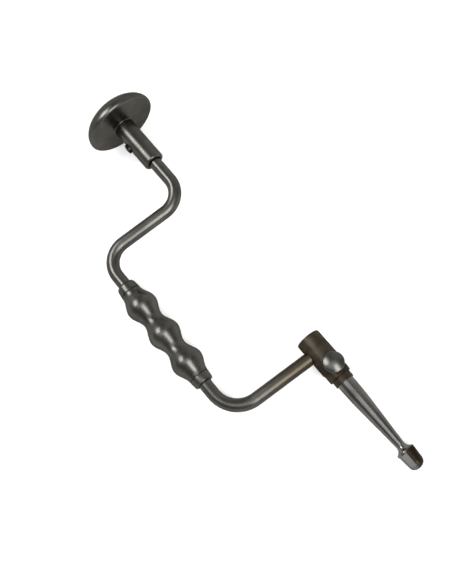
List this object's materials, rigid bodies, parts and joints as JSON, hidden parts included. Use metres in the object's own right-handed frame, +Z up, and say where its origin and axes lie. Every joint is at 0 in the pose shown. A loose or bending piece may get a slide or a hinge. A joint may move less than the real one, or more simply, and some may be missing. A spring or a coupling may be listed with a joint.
{
  "type": "cranial drill",
  "caption": "Hand brace for drilling the skull: domed palm pad on a stem, bent crank rod with a turning grip, chuck with a pull catch, and a fluted burr.",
  "frame": {"origin": "on the turning axis of the pad, chuck and burr, at the flat crown of the chuck", "axes": "+X along the turning axis from the palm pad to the burr, -Y out to the grip of the crank, +Z up on the side of the catch knob"},
  "size_m": [0.3569, 0.118, 0.0576],
  "materials": {
    "satin_steel": "satin, dark and warm, handled",
    "brown_steel": "brown patina, slightly rough",
    "bit_steel": "satin, lighter grey",
    "knob_steel": "smooth polish",
    "dark_steel": "blackened",
    "hard_steel": "ground",
    "bronze": "turned, oiled"
  },
  "bodies": {
    "crank": {"crank_rod": "satin_steel", "upper_collar": "satin_steel", "upper_collar_pin": "dark_steel", "upper_washer": "dark_steel", "lower_washer": "dark_steel", "lower_collar": "satin_steel", "lower_collar_pin": "dark_steel", "chuck_body": "brown_steel", "rod_pin": "dark_steel", "socket_liner": "brown_steel", "drive_pin": "dark_steel", "catch_guide": "dark_steel", "catch_spring": "hard_steel", "burr_bit": "bit_steel"},
    "palm_pad": {"pad_dome": "satin_steel", "pad_stem": "satin_steel", "upper_stem_bush": "bronze", "lower_stem_bush": "bronze", "thrust_seat": "hard_steel", "thrust_ball": "hard_steel", "retaining_screw": "dark_steel"},
    "grip": {"grip_sleeve": "satin_steel", "upper_grip_bush": "bronze", "lower_grip_bush": "bronze"},
    "catch": {"catch_plunger": "hard_steel", "catch_knob": "knob_steel"}
  },
  "joints": [
    {"name": "pad_spin", "type": "hinge", "parent": "crank", "child": "palm_pad", "pos_m": [-0.2, 0, 0], "axis": [1, 0, 0], "continuous": true},
    {"name": "grip_spin", "type": "hinge", "parent": "crank", "child": "grip", "pos_m": [-0.07, -0.077, 0], "axis": [1, 0, 0], "continuous": true},
    {"name": "catch_pull", "type": "slide", "parent": "crank", "child": "catch", "axis": [0, 0.0958, 0.9954], "range_m": [0, 0.003], "stiffness_N_per_m": 700, "springref_m": -0.003, "deforming": ["catch_spring"]}
  ]
}
